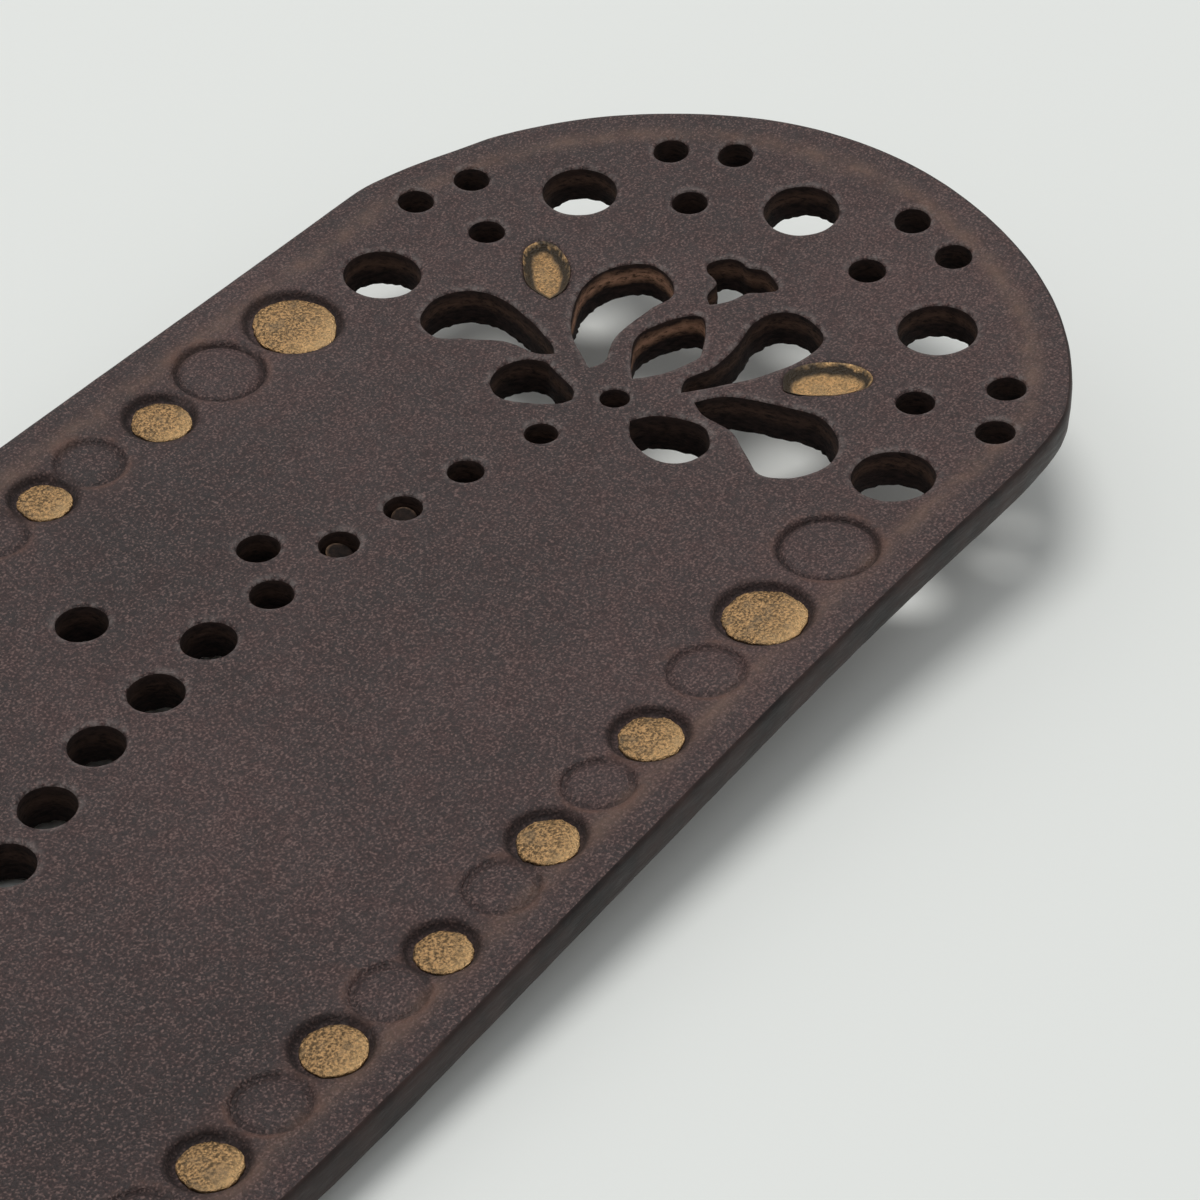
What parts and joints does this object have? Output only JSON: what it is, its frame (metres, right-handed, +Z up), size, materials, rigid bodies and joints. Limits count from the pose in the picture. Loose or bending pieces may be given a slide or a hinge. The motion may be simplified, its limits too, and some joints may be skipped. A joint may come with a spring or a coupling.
{
  "type": "decorated leather strap",
  "caption": "Thick leather strap with rounded ends, punched through with a flower, stem and hole pattern and stamped along its sides with blind and gold-painted circles.",
  "frame": {"origin": "bottom centre of the bounding box: mid-length and mid-width, on the plane the strap rests on", "axes": "+X along the strap towards the end with the plugged stem dots, +Y across it, +Z up through the grain side"},
  "size_m": [0.198, 0.0508, 0.0129],
  "materials": {
    "leather": "dark brown pebbled full-grain leather, burnished edges, slightly worn rims",
    "gold_paint": "antique gold metallic paint in the stamped recesses, coarse and irregular"
  },
  "bodies": {
    "root": {"gold_disc_back_left_1": "gold_paint", "gold_disc_back_left_2": "gold_paint", "gold_disc_back_left_3": "gold_paint", "gold_disc_back_left_4": "gold_paint", "gold_disc_back_left_5": "gold_paint", "gold_disc_back_left_6": "gold_paint", "gold_disc_back_left_7": "gold_paint", "gold_disc_back_right_1": "gold_paint", "gold_disc_back_right_2": "gold_paint", "gold_disc_back_right_3": "gold_paint", "gold_disc_back_right_4": "gold_paint", "gold_disc_back_right_5": "gold_paint", "gold_disc_back_right_6": "gold_paint", "gold_disc_front_left_1": "gold_paint", "gold_disc_front_left_2": "gold_paint", "gold_disc_front_left_3": "gold_paint", "gold_disc_front_left_4": "gold_paint", "gold_disc_front_left_5": "gold_paint", "gold_disc_front_left_6": "gold_paint", "gold_disc_front_left_7": "gold_paint", "gold_disc_front_right_1": "gold_paint", "gold_disc_front_right_2": "gold_paint", "gold_disc_front_right_3": "gold_paint", "gold_disc_front_right_4": "gold_paint", "gold_disc_front_right_5": "gold_paint", "gold_disc_front_right_6": "gold_paint", "gold_leaf_back_left": "gold_paint", "gold_leaf_back_right": "gold_paint", "gold_leaf_front_left": "gold_paint", "gold_leaf_front_right": "gold_paint", "leather_strap": "leather", "punch_plug_1": "leather", "punch_plug_2": "leather"}
  },
  "joints": []
}
